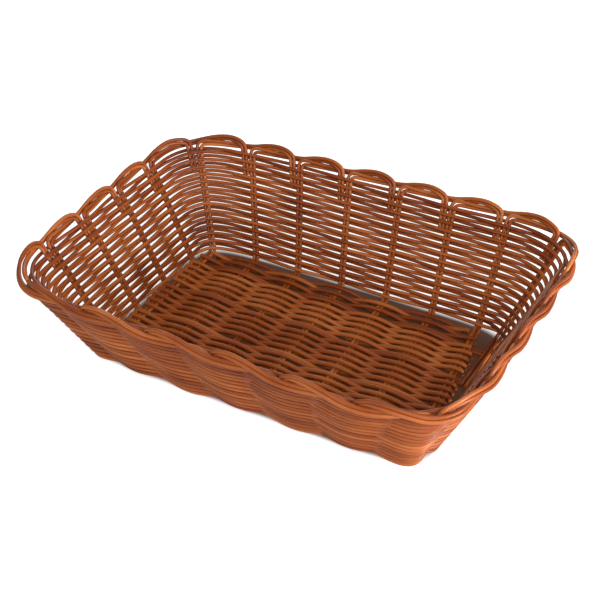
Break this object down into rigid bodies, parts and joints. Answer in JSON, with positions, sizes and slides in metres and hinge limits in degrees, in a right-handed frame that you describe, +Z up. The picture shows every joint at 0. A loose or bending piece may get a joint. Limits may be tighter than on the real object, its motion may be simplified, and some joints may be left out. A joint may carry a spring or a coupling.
{
  "type": "woven bread basket",
  "caption": "Rectangular bread basket with flared walls, woven from round brown plastic strand, with a folded and tucked border round the open top.",
  "frame": {"origin": "middle of the basket's footprint, on the plane it rests on", "axes": "+Z up out of the open top, +X along the long side towards the end wall where the rows start and stop, +Y towards the long wall with seven spaces between its stakes"},
  "size_m": [0.3185, 0.2246, 0.0798],
  "materials": {
    "strand": "satin"
  },
  "bodies": {
    "root": {"weaver_row_01": "strand", "weaver_row_02": "strand", "weaver_row_03": "strand", "weaver_row_04": "strand", "weaver_row_05": "strand", "weaver_row_06": "strand", "weaver_row_07": "strand", "weaver_row_08": "strand", "weaver_row_09": "strand", "weaver_row_10": "strand", "weaver_row_11": "strand", "weaver_row_12": "strand", "weaver_row_13": "strand", "weaver_row_14": "strand", "weaver_row_15": "strand", "weaver_row_16": "strand", "weaver_row_17": "strand", "weaver_row_18": "strand", "weaver_row_19": "strand", "weaver_row_20": "strand", "weaver_row_21": "strand", "weaver_row_22": "strand", "weaver_row_23": "strand", "weaver_row_24": "strand", "weaver_row_25": "strand", "weaver_row_26": "strand", "weaver_row_27": "strand", "weaver_row_28": "strand", "crossing_stake_1": "strand", "crossing_stake_2": "strand", "crossing_stake_3": "strand", "crossing_stake_4": "strand", "crossing_stake_5": "strand", "crossing_stake_6": "strand", "crossing_stake_7": "strand", "lengthwise_stake_1": "strand", "lengthwise_stake_2": "strand", "lengthwise_stake_3": "strand", "lengthwise_stake_4": "strand", "added_corner_stake": "strand", "base_weaver_front": "strand", "base_weaver_middle": "strand", "base_weaver_back": "strand", "base_edge_strand_1": "strand", "base_edge_strand_2": "strand", "base_edge_strand_3": "strand", "base_edge_strand_4": "strand", "base_edge_strand_5": "strand", "base_edge_strand_6": "strand", "base_edge_strand_7": "strand", "base_edge_strand_8": "strand"}
  },
  "joints": []
}
